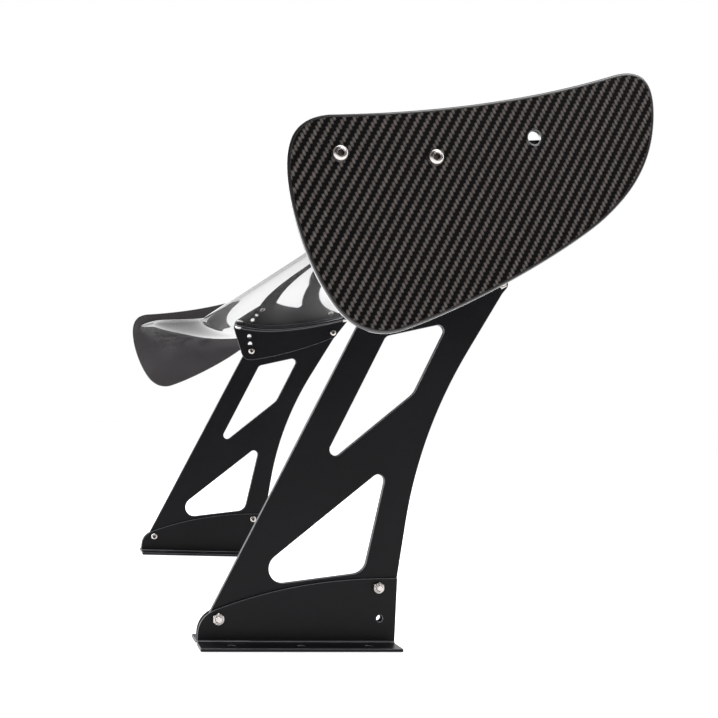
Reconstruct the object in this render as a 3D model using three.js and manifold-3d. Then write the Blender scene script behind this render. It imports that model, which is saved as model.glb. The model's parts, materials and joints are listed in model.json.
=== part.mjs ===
// Racing rear wing: a two-shell carbon airfoil with end plates, carried by two plate stands that
// are bolted between angle brackets on the car's deck.
//
// Millimetres. +X is rearward, +Y is the car's right and +Z is up. The side profiles below use
// x measured rearward from the front end of the deck brackets and z measured up from the deck.

import * as THREE from 'three';
import { mergeVertices } from 'three/addons/utils/BufferGeometryUtils.js';
import Module from 'manifold-3d';

const wasm = await Module();
wasm.setup();

// ---------------------------------------------------------------- driving dimensions

const OVERALL_WIDTH = 1549;          // over the outer faces of the end plates
const STAND_SPACING = 748;           // between the middles of the two stands
const FIT_GAP = 0.3;                 // clearance kept between faces that touch
const CURVE_STEPS = 6;               // straight steps along each curved stretch of an outline
const ROUND_STEPS = 12;              // sides of a turned piece

const STAND_THICKNESS = 6;
const SHEET_THICKNESS = 3;           // deck brackets and wing brackets
const END_PLATE_THICKNESS = 4;

const DECK_BRACKET_LENGTH = 190;
const DECK_FLANGE_WIDTH = 34;
const DECK_HOLE_LINE = 20;           // from the face that lies against the stand
const DECK_HOLE_STATIONS = [30, 95, 160];
const BEND_RADIUS = 3;
const THROUGH = 1;                   // how far a cutting piece runs past the faces it cuts

const RAKE_PIVOT = { x: 18.5, z: 24.5 };      // front bolt of the deck brackets
const RAKE_LOCK_RADIUS = 155.6;               // from that bolt to the two rear holes
const RAKE_LOCK_ANGLES = [11.5, 0.5];         // degrees above level: hole in use, lower hole
const RAKE_RANGE = RAKE_LOCK_ANGLES[0] - RAKE_LOCK_ANGLES[1];

const WING_PIVOT = { x: 284.6, z: 358.8 };    // rear bolt of the wing brackets
const ANGLE_LOCK_RADIUS = 136.2;              // from that bolt to the front row of holes
const ANGLE_LOCK_ANGLES = [16.3, 11.3, 6.3];  // degrees below level: hole in use first

// The two ends of the airfoil's chord at the middle and at the tip, in side-profile x and z.
const CENTRE_SECTION = { lead: [91.5, 378], trail: [352.51, 404.973] };
const TIP_SECTION = { lead: [0.5, 376], trail: [224.5, 411.9] };
const SWEEP_START = 380;             // the section is constant inboard of this distance
const LEAD_SWEEP_START = 520;        // the leading edge turns forward here
const LEAD_SWEEP_KNEE = 650;         // and has done most of its sweep here
const LEAD_SWEEP_SHARE = 0.62;       // the part of the sweep that is done by that knee
const THICKNESS_RATIO = 0.12;
const CAMBER = 0.05;
const SWEEP_CAMBER = 0.05;           // added in the middle of the swept stretch
const CAMBER_PLACE = 0.4;            // fraction of the chord where the camber is deepest
const TRAILING_HALF_THICKNESS = 1.5;
const SKIN_THICKNESS = 2;
const RIB_THICKNESS = 12;
const MOUNT_RIB_REACH = [0.06, 0.88];    // fractions of the chord between which a rib runs
const TIP_RIB_REACH = [0.03, 0.9];
const SPAR = { outer: 16, bore: 13, length: 880, fraction: 0.33 };

const SADDLE_WIDTH = 30;
const SADDLE_GAP = 0.4;              // below the underside of the airfoil
const SADDLE_FRONT = 124;
const SADDLE_REAR = 309;
const SADDLE_SCREW_STATIONS = [130, 299];

const END_PLATE_HOLES = [[22.4, 377.6], [84.8, 381.7], [152, 402]];
const SPARE_HOLE_DIAMETER = 8.8;

const BOLT = { shank: 6, hole: 6.6, head: 10.5, headHeight: 3.3, socket: 4, socketDepth: 2.1 };
const BOLT_DOME = [[5.25, 0.8], [3.85, 2.6], [2.5, 3.3]];    // [radius, height] points over a head
const NUT = { flats: 10, hexHeight: 4, collar: 8.8, height: 5 };
const WASHER = { outer: 10.8, thickness: 0.8 };
const INSERT = { outer: 9, length: 11 };
const BOLT_END = 1.8;                // length of thread that stands past a nut

// ---------------------------------------------------------------- finishes

function finish(color, roughness, metalness) {
  return new THREE.MeshStandardMaterial({ color, roughness, metalness });
}

const anodised = finish(0x17181b, 0.45, 0.6);
const carbon = finish(0x1d1b1a, 0.15, 0.0);
const stainless = finish(0xb9b6b0, 0.25, 1.0);
const bareAluminium = finish(0xa9abad, 0.4, 1.0);
const composite = finish(0x6b6450, 0.8, 0.0);

const wing = new THREE.Group();

function addPiece(name, geometry, material) {
  const mesh = new THREE.Mesh(geometry, material);
  mesh.name = name;
  wing.add(mesh);
}

// ---------------------------------------------------------------- solids and outlines

function toSolid(geometry) {
  const bare = geometry.clone();
  bare.deleteAttribute('normal');
  bare.deleteAttribute('uv');
  const merged = mergeVertices(bare, 1e-4);
  const vertProperties = new Float32Array(merged.attributes.position.array);
  const triVerts = new Uint32Array(merged.index.array);
  return new wasm.Manifold(new wasm.Mesh({ numProp: 3, vertProperties, triVerts }));
}

function toGeometry(solid) {
  const mesh = solid.getMesh();
  const geometry = new THREE.BufferGeometry();
  geometry.setAttribute('position', new THREE.BufferAttribute(new Float32Array(mesh.vertProperties), 3));
  geometry.setIndex(new THREE.BufferAttribute(new Uint32Array(mesh.triVerts), 1));
  geometry.computeVertexNormals();
  return geometry;
}

function join(first, ...others) {
  return toGeometry(others.reduce((solid, other) => solid.add(toSolid(other)), toSolid(first)));
}

function cut(first, ...cutters) {
  return toGeometry(cutters.reduce((solid, cutter) => solid.subtract(toSolid(cutter)), toSolid(first)));
}

// A side profile made solid between two distances from the car's centre line.
function plate(shape, side, inner, outer) {
  const depth = outer - inner;
  const curveSegments = CURVE_STEPS;
  const geometry = new THREE.ExtrudeGeometry(shape, { depth, bevelEnabled: false, curveSegments });
  geometry.rotateX(Math.PI / 2);
  geometry.translate(0, side > 0 ? outer : -inner, 0);
  return geometry;
}

// A box given by its limits in x, its two distances from the centre line and its limits in z.
function block(side, x0, x1, inner, outer, z0, z1) {
  const geometry = new THREE.BoxGeometry(x1 - x0, outer - inner, z1 - z0);
  geometry.translate((x0 + x1) / 2, side * (inner + outer) / 2, (z0 + z1) / 2);
  return geometry;
}

function circle(x, z, diameter) {
  return new THREE.Path().absarc(x, z, diameter / 2, 0, 2 * Math.PI, false);
}

// A closed outline of straight edges; each corner is [x, z, radius].
function roundedPath(path, corners) {
  const at = (i) => new THREE.Vector2(...corners[(i + corners.length) % corners.length]);
  corners.forEach(([, , radius], i) => {
    const corner = at(i);
    const back = at(i - 1).sub(corner).normalize();
    const ahead = at(i + 1).sub(corner).normalize();
    const halfAngle = Math.acos(back.dot(ahead)) / 2;
    const middle = back.clone().add(ahead).normalize();
    const centre = corner.clone().addScaledVector(middle, radius / Math.sin(halfAngle));
    const start = corner.clone().addScaledVector(back, radius / Math.tan(halfAngle)).sub(centre);
    const end = corner.clone().addScaledVector(ahead, radius / Math.tan(halfAngle)).sub(centre);
    path.absarc(centre.x, centre.y, radius, start.angle(), end.angle(), back.cross(ahead) > 0);
  });
  path.closePath();
  return path;
}

function polar(centre, radius, degrees) {
  const angle = THREE.MathUtils.degToRad(degrees);
  return { x: centre.x + radius * Math.cos(angle), z: centre.z + radius * Math.sin(angle) };
}

const rakeLocks = RAKE_LOCK_ANGLES.map((degrees) => polar(RAKE_PIVOT, RAKE_LOCK_RADIUS, degrees));
const angleLocks = ANGLE_LOCK_ANGLES.map((degrees) => polar(WING_PIVOT, ANGLE_LOCK_RADIUS, 180 + degrees));

// ---------------------------------------------------------------- airfoil sections

// Inverted section: the flat side is up and the deep side is down. The line has unit depth.
function camberLine(fraction) {
  const ahead = fraction < CAMBER_PLACE;
  const reach = ahead ? CAMBER_PLACE : 1 - CAMBER_PLACE;
  return ((fraction - CAMBER_PLACE) / reach) ** 2 - 1;
}

function halfThickness(fraction, chord) {
  const f = fraction;
  const closed = 0.2969 * Math.sqrt(f) - 0.126 * f - 0.3516 * f ** 2 + 0.2843 * f ** 3 - 0.1036 * f ** 4;
  return 5 * THICKNESS_RATIO * closed * chord + TRAILING_HALF_THICKNESS * f;
}

function blendedPoint(key, blend) {
  const start = new THREE.Vector2(...CENTRE_SECTION[key]);
  return start.lerp(new THREE.Vector2(...TIP_SECTION[key]), blend);
}

// The section at a distance from the centre line. Towards the tip it sweeps forward and twists, and
// it is more deeply curved in the middle of that stretch. The leading edge turns forward further
// out than the trailing edge, and more sharply.
function sectionAt(distance) {
  const tip = OVERALL_WIDTH / 2;
  const knee = THREE.MathUtils.smoothstep(distance, LEAD_SWEEP_START, LEAD_SWEEP_KNEE);
  const outer = THREE.MathUtils.smoothstep(distance, LEAD_SWEEP_START, tip);
  const trailBlend = THREE.MathUtils.smoothstep(distance, SWEEP_START, tip);
  const lead = blendedPoint('lead', LEAD_SWEEP_SHARE * knee + (1 - LEAD_SWEEP_SHARE) * outer);
  const chordLine = blendedPoint('trail', trailBlend).sub(lead);
  return {
    lead,
    chord: chordLine.length(),
    along: chordLine.clone().normalize(),
    camber: CAMBER + SWEEP_CAMBER * Math.sin(Math.PI * trailBlend) ** 2,
  };
}

// A point of a section, at a height above its camber line, in side-profile x and z.
function sectionPoint(section, fraction, height) {
  const { lead, chord, along, camber } = section;
  const up = camberLine(fraction) * camber * chord + height;
  const square = new THREE.Vector2(-along.y, along.x);
  return lead.clone().addScaledVector(along, fraction * chord).addScaledVector(square, up);
}

// Points along one face of a section, lowered into it by an inset; side is +1 up or -1 down.
function sectionFace(section, side, inset, from, to, steps) {
  const least = FIT_GAP / 2;
  return Array.from({ length: steps + 1 }, (_, i) => {
    const fraction = from + (to - from) * (1 - Math.cos((Math.PI / 2) * (i / steps)));
    const height = Math.max(halfThickness(fraction, section.chord) - inset, least);
    return sectionPoint(section, fraction, side * height);
  });
}

// The underside of the centre section, as z for an x, lowered by a drop. The fraction of the chord
// that lies at x is found by repeated correction, because the section is tilted.
function undersideHeight(x, drop) {
  const corrections = 8;
  const section = sectionAt(0);
  const face = (fraction) => sectionPoint(section, fraction, -halfThickness(fraction, section.chord));
  let fraction = (x - section.lead.x) / section.chord;
  for (let i = 0; i < corrections; i += 1) {
    fraction += (x - face(fraction).x) / section.chord;
  }
  return face(fraction).y - drop;
}

// ---------------------------------------------------------------- airfoil

const SKIN_NOSE = 0.0009;            // fraction of the chord where the two shells meet
const SKIN_STEPS = 12;
const TIP_INNER_FACE = OVERALL_WIDTH / 2 - END_PLATE_THICKNESS;
const SKIN_END = TIP_INNER_FACE - FIT_GAP;

function skinStations() {
  const sweepSteps = 16;
  const outboard = Array.from({ length: sweepSteps + 1 }, (_, i) =>
    THREE.MathUtils.lerp(SWEEP_START, SKIN_END, i / sweepSteps));
  return [...outboard.map((distance) => -distance).reverse(), ...outboard];
}

// A thin shell along the span: each ring runs out along the face and back along its inside.
function skinGeometry(side) {
  const rings = skinStations().map((y) => {
    const section = sectionAt(Math.abs(y));
    const outer = sectionFace(section, side, 0, SKIN_NOSE, 1, SKIN_STEPS);
    const inner = sectionFace(section, side, SKIN_THICKNESS, SKIN_NOSE, 1, SKIN_STEPS);
    return [...outer, ...inner.reverse()].map((point) => [point.x, y, point.y]);
  });
  const size = rings[0].length;
  const last = (rings.length - 1) * size;
  const faces = [];
  const quad = (a, b, c, d) => (side > 0 ? faces.push(a, b, c, a, c, d) : faces.push(a, c, b, a, d, c));
  for (let ring = 0; ring < rings.length - 1; ring += 1) {
    for (let i = 0; i < size; i += 1) {
      const next = (i + 1) % size;
      const base = ring * size;
      quad(base + i, base + next, base + size + next, base + size + i);
    }
  }
  for (let i = 0; i < SKIN_STEPS; i += 1) {
    const opposite = size - 1 - i;
    quad(i, opposite, opposite - 1, i + 1);
    quad(last + i, last + i + 1, last + opposite - 1, last + opposite);
  }
  const geometry = new THREE.BufferGeometry();
  geometry.setAttribute('position', new THREE.Float32BufferAttribute(rings.flat(2), 3));
  geometry.setIndex(faces);
  return geometry;
}

function verticalBore(x, y, bottom, top) {
  const geometry = new THREE.CylinderGeometry(BOLT.hole / 2, BOLT.hole / 2, top - bottom, ROUND_STEPS);
  geometry.rotateX(Math.PI / 2);
  geometry.translate(x, y, (bottom + top) / 2);
  return geometry;
}

function crossBore(x, z, diameter, side, inner, outer) {
  const geometry = new THREE.CylinderGeometry(diameter / 2, diameter / 2, outer - inner, ROUND_STEPS);
  geometry.translate(x, side * (inner + outer) / 2, z);
  return geometry;
}

const BRACKET_OUTER_FACE = STAND_SPACING / 2 - STAND_THICKNESS / 2 - FIT_GAP;
const BRACKET_INNER_FACE = BRACKET_OUTER_FACE - SHEET_THICKNESS;
const SADDLE_INNER_EDGE = BRACKET_OUTER_FACE - SADDLE_WIDTH;
const SADDLE_SCREW_LINE = (SADDLE_INNER_EDGE + BRACKET_INNER_FACE) / 2;
const SCREW_REACH = 12;              // how far a saddle screw enters the airfoil

const saddleScrews = SADDLE_SCREW_STATIONS.map((x) => {
  const rise = undersideHeight(x + 1, 0) - undersideHeight(x - 1, 0);
  return { x, z: undersideHeight(x, 0), tilt: -Math.atan2(rise, 2) };
});

// Puts a piece made about z square to the underside of the airfoil at a saddle screw.
function atSaddleScrew(geometry, side, { x, z, tilt }) {
  geometry.rotateY(tilt);
  geometry.translate(x, side * SADDLE_SCREW_LINE, z);
  return geometry;
}

// The bores of one side's saddle screws, running the same depth both ways from the underside.
function saddleBores(side, depth) {
  return saddleScrews.map((place) => atSaddleScrew(verticalBore(0, 0, -depth, depth), side, place));
}

const sparCentre = sectionPoint(sectionAt(0), SPAR.fraction, 0);

function ribShape(section, from, to) {
  const inset = SKIN_THICKNESS + 2 * FIT_GAP;
  const steps = 10;
  const upper = sectionFace(section, 1, inset, from, to, steps);
  const lower = sectionFace(section, -1, inset, from, to, steps);
  return new THREE.Shape([...lower, ...upper.reverse()]);
}

function mountRib(side) {
  const inner = SADDLE_SCREW_LINE - RIB_THICKNESS / 2;
  const outer = SADDLE_SCREW_LINE + RIB_THICKNESS / 2;
  const body = plate(ribShape(sectionAt(0), ...MOUNT_RIB_REACH), side, inner, outer);
  const sparFit = SPAR.outer + 2 * FIT_GAP;
  const sparBore = crossBore(sparCentre.x, sparCentre.y, sparFit, side, inner - THROUGH, outer + THROUGH);
  return cut(body, sparBore, ...saddleBores(side, SCREW_REACH + THROUGH));
}

function tipRib(side) {
  const inner = SKIN_END - RIB_THICKNESS;
  const body = plate(ribShape(sectionAt(inner), ...TIP_RIB_REACH), side, inner, SKIN_END);
  const insertFit = INSERT.outer + 2 * FIT_GAP;
  const bores = END_PLATE_HOLES.slice(0, 2).map(([x, z]) =>
    crossBore(x, z, insertFit, side, inner - THROUGH, SKIN_END + THROUGH));
  return cut(body, ...bores);
}

function lowerSkin() {
  const bores = [1, -1].flatMap((side) => saddleBores(side, 2 * SKIN_THICKNESS));
  return cut(skinGeometry(-1), ...bores);
}

function sparTube() {
  const { x, y } = sparCentre;
  const ring = new THREE.Shape().absarc(x, y, SPAR.outer / 2, 0, 2 * Math.PI, false);
  ring.holes.push(circle(x, y, SPAR.bore));
  return plate(ring, 1, -SPAR.length / 2, SPAR.length / 2);
}

addPiece('airfoil_upper_skin', skinGeometry(1), carbon);
addPiece('airfoil_lower_skin', lowerSkin(), carbon);
addPiece('spar_tube', sparTube(), bareAluminium);

// ---------------------------------------------------------------- end plates

function endPlateShape() {
  const shape = new THREE.Shape();
  shape.moveTo(-10.5, 371);
  shape.bezierCurveTo(-10.5, 388, -3, 398.5, 14.5, 402);
  shape.quadraticCurveTo(121.5, 415.9, 205, 449.8);
  shape.bezierCurveTo(225, 458, 237, 452, 237, 423.5);
  shape.bezierCurveTo(237, 393, 223, 371, 200.5, 350);
  shape.bezierCurveTo(170, 323.5, 110, 286.5, 68.5, 270);
  shape.bezierCurveTo(53, 264, 34, 267.5, 20, 288);
  shape.bezierCurveTo(6, 306, -10.5, 345, -10.5, 371);
  const [front, middle, spare] = END_PLATE_HOLES;
  shape.holes.push(circle(...front, BOLT.hole), circle(...middle, BOLT.hole));
  shape.holes.push(circle(...spare, SPARE_HOLE_DIAMETER));
  return shape;
}

// ---------------------------------------------------------------- stands and brackets

function standShape() {
  const leanSlope = 0.463;           // of the straight front edge
  const frontX = (z) => -3.2 + leanSlope * z;
  const toeSlope = Math.tan(THREE.MathUtils.degToRad(RAKE_RANGE));
  const toeDepth = 15;               // of plate below the front bolt
  const heelX = 190;
  const toeZ = (x) => RAKE_PIVOT.z - toeDepth + toeSlope * (x - RAKE_PIVOT.x);
  const toeX = (frontX(0) + leanSlope * toeZ(0)) / (1 - leanSlope * toeSlope);
  const toeRound = 19;               // length of edge taken by the rounded toe
  const lobeRadius = 8;              // round the rear bolt of the wing brackets
  const topFrontZ = 331;
  const shape = new THREE.Shape();
  shape.moveTo(toeX + toeRound, toeZ(toeX + toeRound));
  shape.lineTo(heelX, toeZ(heelX));
  shape.lineTo(heelX + 0.5, 64);
  shape.lineTo(197.1, 120);
  shape.quadraticCurveTo(207.4, 207.8, 253.7, 290);
  shape.lineTo(286.9, 349);
  shape.absarc(WING_PIVOT.x, WING_PIVOT.z, lobeRadius, -0.5, 1.9, false);
  shape.quadraticCurveTo(186, topFrontZ, frontX(topFrontZ), topFrontZ);
  const toeTopZ = toeZ(toeX) + toeRound;
  shape.lineTo(frontX(toeTopZ), toeTopZ);
  shape.quadraticCurveTo(toeX + 2, toeZ(toeX) + 2, toeX + toeRound, toeZ(toeX + toeRound));
  const upperWindow = [[168.1, 298.2, 8], [106.3, 163.2, 6], [199.3, 244, 22], [232, 316, 6]];
  const lowerWindow = [[176.7, 173.9, 6.5], [32.1, 50.8, 14], [157.1, 69.1, 14]];
  shape.holes.push(roundedPath(new THREE.Path(), upperWindow));
  shape.holes.push(roundedPath(new THREE.Path(), lowerWindow));
  [RAKE_PIVOT, rakeLocks[0], WING_PIVOT, angleLocks[0]].forEach(({ x, z }) => {
    shape.holes.push(circle(x, z, BOLT.hole));
  });
  return shape;
}

function deckBracketShape() {
  const shape = new THREE.Shape();
  const topZ = 64.4;
  shape.moveTo(0, 0);
  shape.lineTo(DECK_BRACKET_LENGTH, 0);
  shape.lineTo(DECK_BRACKET_LENGTH, topZ);
  shape.quadraticCurveTo(94.5, topZ, 16, 33);
  shape.quadraticCurveTo(0, 26.6, 0, 10);
  [RAKE_PIVOT, ...rakeLocks].forEach(({ x, z }) => shape.holes.push(circle(x, z, BOLT.hole)));
  return shape;
}

// An angle bracket: its upright plate lies against the stand and its flange lies on the deck.
function deckBracket(side, standFace, away) {
  const near = standFace + away * FIT_GAP;
  const far = near + away * SHEET_THICKNESS;
  const edge = near + away * DECK_FLANGE_WIDTH;
  const ordered = (a, b) => [Math.min(a, b), Math.max(a, b)];
  const upright = plate(deckBracketShape(), side, ...ordered(near, far));
  const flange = block(side, 0, DECK_BRACKET_LENGTH, ...ordered(near, edge), 0, SHEET_THICKNESS);
  const filletEnd = far + away * BEND_RADIUS;
  const filletWidth = ordered(far - away * THROUGH, filletEnd);
  const filletTop = SHEET_THICKNESS + BEND_RADIUS;
  const filletBottom = SHEET_THICKNESS - THROUGH;
  const filletBlock = block(side, 0, DECK_BRACKET_LENGTH, ...filletWidth, filletBottom, filletTop);
  const filletLength = DECK_BRACKET_LENGTH + 2 * THROUGH;
  const filletRound = new THREE.CylinderGeometry(BEND_RADIUS, BEND_RADIUS, filletLength, ROUND_STEPS);
  filletRound.rotateZ(Math.PI / 2);
  filletRound.translate(DECK_BRACKET_LENGTH / 2, side * filletEnd, filletTop);
  const holeLine = side * (near + away * DECK_HOLE_LINE);
  const deckBores = DECK_HOLE_STATIONS.map((x) =>
    verticalBore(x, holeLine, -THROUGH, SHEET_THICKNESS + THROUGH));
  return cut(join(upright, flange, cut(filletBlock, filletRound)), ...deckBores);
}

function wingBracketShape() {
  const shape = new THREE.Shape();
  const topSteps = 12;
  shape.moveTo(SADDLE_FRONT, undersideHeight(SADDLE_FRONT, SHEET_THICKNESS));
  shape.lineTo(137.5, 319);
  shape.quadraticCurveTo(141.5, 305, 155, 306.5);
  shape.quadraticCurveTo(215, 317.9, 288, 351.5);
  shape.lineTo(SADDLE_REAR, undersideHeight(SADDLE_REAR, SHEET_THICKNESS));
  for (let i = 0; i <= topSteps; i += 1) {
    const x = THREE.MathUtils.lerp(SADDLE_REAR, SADDLE_FRONT, i / topSteps);
    shape.lineTo(x, undersideHeight(x, SADDLE_GAP));
  }
  [WING_PIVOT, ...angleLocks].forEach(({ x, z }) => shape.holes.push(circle(x, z, BOLT.hole)));
  return shape;
}

function saddleShape() {
  const steps = 12;
  const along = Array.from({ length: steps + 1 }, (_, i) =>
    THREE.MathUtils.lerp(SADDLE_FRONT, SADDLE_REAR, i / steps));
  const line = (drop) => along.map((x) => new THREE.Vector2(x, undersideHeight(x, drop)));
  const top = line(SADDLE_GAP);
  const bottom = line(SADDLE_GAP + SHEET_THICKNESS);
  return new THREE.Shape([...bottom, ...top.reverse()]);
}

function wingBracket(side) {
  const upright = plate(wingBracketShape(), side, BRACKET_INNER_FACE, BRACKET_OUTER_FACE);
  const saddle = plate(saddleShape(), side, SADDLE_INNER_EDGE, BRACKET_OUTER_FACE);
  return cut(join(upright, saddle), ...saddleBores(side, 2 * SHEET_THICKNESS));
}

// ---------------------------------------------------------------- fasteners

// A turned piece about the z axis, from [radius, z] points that start and end on the axis.
function turned(points) {
  const profile = points.map(([radius, z]) => new THREE.Vector2(radius, z));
  const geometry = new THREE.LatheGeometry(profile, ROUND_STEPS);
  geometry.rotateX(Math.PI / 2);
  return geometry;
}

function hexPrism(flats, bottom, top) {
  const radius = flats / Math.sqrt(3);
  const geometry = new THREE.CylinderGeometry(radius, radius, top - bottom, 6);
  geometry.rotateX(Math.PI / 2);
  geometry.translate(0, 0, (bottom + top) / 2);
  return geometry;
}

// A button-head screw: the head stands on z = 0 and the shank, if any, hangs below it.
function buttonScrew(length) {
  const shank = BOLT.shank / 2;
  const head = BOLT.head / 2;
  const tip = length > 0 ? [[0, -length], [shank, -length], [shank, 0]] : [[0, 0]];
  const body = turned([...tip, [head, 0], ...BOLT_DOME, [0, BOLT.headHeight]]);
  const socketFloor = BOLT.headHeight - BOLT.socketDepth;
  return cut(body, hexPrism(BOLT.socket, socketFloor, BOLT.headHeight + THROUGH));
}

// A locking nut standing on z = 0, with a rounded collar over its hexagon.
function nutBody() {
  const { flats, hexHeight, collar, height } = NUT;
  const start = hexHeight / 2;
  const rim = collar / 2;
  return join(hexPrism(flats, 0, hexHeight), turned([[0, start], [rim, start], [rim, height], [0, height]]));
}

function openNut() {
  const bore = new THREE.CylinderGeometry(BOLT.hole / 2, BOLT.hole / 2, 4 * NUT.height, ROUND_STEPS);
  bore.rotateX(Math.PI / 2);
  return cut(nutBody(), bore);
}

// A nut with the end of its bolt in it; the shank reaches below the nut by a length.
function nutWithShank(length) {
  const shank = BOLT.shank / 2;
  const end = NUT.height + BOLT_END;
  return join(nutBody(), turned([[0, -length], [shank, -length], [shank, end], [0, end]]));
}

// Turns a piece made about z so that its top points along the side, outboard (+1) or inboard (-1).
function pointAlong(geometry, side, direction, x, distance, z) {
  geometry.rotateX(side * direction > 0 ? -Math.PI / 2 : Math.PI / 2);
  geometry.translate(x, side * distance, z);
  return geometry;
}

function ringPiece(outer, bore, thickness) {
  const ring = new THREE.Shape().absarc(0, 0, outer / 2, 0, 2 * Math.PI, false);
  ring.holes.push(circle(0, 0, bore));
  const curveSegments = ROUND_STEPS / 2;
  return new THREE.ExtrudeGeometry(ring, { depth: thickness, bevelEnabled: false, curveSegments });
}

// ---------------------------------------------------------------- the two sides

const STAND_INNER_FACE = STAND_SPACING / 2 - STAND_THICKNESS / 2;
const STAND_OUTER_FACE = STAND_INNER_FACE + STAND_THICKNESS;
const DECK_OUTER_FACE = STAND_OUTER_FACE + FIT_GAP + SHEET_THICKNESS;
const HEAD_SEAT = BRACKET_INNER_FACE - FIT_GAP;
const DECK_NUT_SEAT = DECK_OUTER_FACE + FIT_GAP;
const STAND_NUT_SEAT = STAND_OUTER_FACE + FIT_GAP;

// Seats a screw head on the inboard face, or a nut at an outboard seat, over a hole.
function addHead(name, side, length, { x, z }) {
  addPiece(name, pointAlong(buttonScrew(length), side, -1, x, HEAD_SEAT, z), stainless);
}

function addNut(name, side, nut, seat, { x, z }) {
  addPiece(name, pointAlong(nut, side, 1, x, seat, z), stainless);
}

function addDeckMount(label, side) {
  addPiece(`${label}_inner_deck_bracket`, deckBracket(side, STAND_INNER_FACE, -1), anodised);
  addPiece(`${label}_outer_deck_bracket`, deckBracket(side, STAND_OUTER_FACE, 1), anodised);
  const boltLength = DECK_NUT_SEAT + NUT.height + BOLT_END - HEAD_SEAT;
  addHead(`${label}_rake_pivot_bolt`, side, boltLength, RAKE_PIVOT);
  addNut(`${label}_rake_pivot_nut`, side, openNut(), DECK_NUT_SEAT, RAKE_PIVOT);
}

// The locking bolts follow the stand, so each is parted where it passes through a bracket.
function addStand(label, side) {
  addPiece(`${label}_stand`, plate(standShape(), side, STAND_INNER_FACE, STAND_OUTER_FACE), anodised);
  const rake = rakeLocks[0];
  const rakeShank = crossBore(rake.x, rake.z, BOLT.shank, side, STAND_INNER_FACE, STAND_OUTER_FACE);
  addHead(`${label}_rake_lock_head`, side, 0, rake);
  addPiece(`${label}_rake_lock_shank`, rakeShank, stainless);
  addNut(`${label}_rake_lock_nut`, side, nutWithShank(0), DECK_NUT_SEAT, rake);
  const pivotLength = STAND_NUT_SEAT + NUT.height + BOLT_END - HEAD_SEAT;
  addHead(`${label}_wing_pivot_bolt`, side, pivotLength, WING_PIVOT);
  addNut(`${label}_wing_pivot_nut`, side, openNut(), STAND_NUT_SEAT, WING_PIVOT);
  const lockReach = STAND_THICKNESS + FIT_GAP;
  addHead(`${label}_angle_lock_head`, side, 0, angleLocks[0]);
  addNut(`${label}_angle_lock_nut`, side, nutWithShank(lockReach), STAND_NUT_SEAT, angleLocks[0]);
}

function addWingFittings(label, side) {
  addPiece(`${label}_wing_bracket`, wingBracket(side), anodised);
  addPiece(`${label}_mount_rib`, mountRib(side), composite);
  addPiece(`${label}_tip_rib`, tipRib(side), composite);
  ['front', 'rear'].forEach((place, i) => {
    const screw = buttonScrew(SHEET_THICKNESS + SCREW_REACH);
    screw.rotateX(Math.PI);
    screw.translate(0, 0, -SHEET_THICKNESS - 3 * FIT_GAP);
    addPiece(`${label}_saddle_screw_${place}`, atSaddleScrew(screw, side, saddleScrews[i]), stainless);
  });
}

function addEndPlate(label, side) {
  const outerFace = OVERALL_WIDTH / 2;
  addPiece(`${label}_end_plate`, plate(endPlateShape(), side, TIP_INNER_FACE, outerFace), carbon);
  const washerSeat = outerFace + FIT_GAP;
  const headSeat = washerSeat + WASHER.thickness + FIT_GAP;
  const insertSeat = SKIN_END - INSERT.length;
  const screwLength = headSeat - insertSeat - BOLT_END;
  ['front', 'rear'].forEach((place, i) => {
    const [x, z] = END_PLATE_HOLES[i];
    const seated = (geometry, seat) => pointAlong(geometry, side, 1, x, seat, z);
    const washer = seated(ringPiece(WASHER.outer, BOLT.hole, WASHER.thickness), washerSeat);
    const insert = seated(ringPiece(INSERT.outer, BOLT.hole, INSERT.length), insertSeat);
    addPiece(`${label}_plate_washer_${place}`, washer, stainless);
    addPiece(`${label}_plate_screw_${place}`, seated(buttonScrew(screwLength), headSeat), stainless);
    addPiece(`${label}_plate_insert_${place}`, insert, bareAluminium);
  });
}

[['left', -1], ['right', 1]].forEach(([label, side]) => {
  addDeckMount(label, side);
  addStand(label, side);
  addWingFittings(label, side);
  addEndPlate(label, side);
});

// The origin stands on the deck under the middle of the whole wing.
const extent = new THREE.Box3().setFromObject(wing);
wing.position.x = -(extent.min.x + extent.max.x) / 2;

export default wing;
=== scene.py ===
"""A racing rear wing: fine surfaces, finishes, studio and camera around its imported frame.

Outlines are in side-profile millimetres, as in the part's own source: x rearward from the front end
of the deck brackets, z up from the deck, and a distance outboard from the car's centre line.
"""

import json
import math

import bmesh
import bpy
from mathutils import Matrix, Vector
from mathutils.geometry import tessellate_polygon


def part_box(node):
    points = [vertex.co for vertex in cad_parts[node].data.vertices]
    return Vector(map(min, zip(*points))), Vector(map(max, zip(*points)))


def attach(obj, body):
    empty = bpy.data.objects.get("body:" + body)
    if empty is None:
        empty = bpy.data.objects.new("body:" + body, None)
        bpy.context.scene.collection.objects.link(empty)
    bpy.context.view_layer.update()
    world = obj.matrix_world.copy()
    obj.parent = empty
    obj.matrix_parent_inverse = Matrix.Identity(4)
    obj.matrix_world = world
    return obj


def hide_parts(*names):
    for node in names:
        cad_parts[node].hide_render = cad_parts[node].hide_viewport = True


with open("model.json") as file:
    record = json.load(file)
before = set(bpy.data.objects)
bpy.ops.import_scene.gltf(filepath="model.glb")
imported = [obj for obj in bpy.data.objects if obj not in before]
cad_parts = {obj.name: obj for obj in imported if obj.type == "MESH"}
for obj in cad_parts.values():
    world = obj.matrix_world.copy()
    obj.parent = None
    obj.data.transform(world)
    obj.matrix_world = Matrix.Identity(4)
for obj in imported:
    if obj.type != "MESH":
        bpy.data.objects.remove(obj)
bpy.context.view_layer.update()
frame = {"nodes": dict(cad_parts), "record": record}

# ---------------------------------------------------------------- driving dimensions

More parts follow.
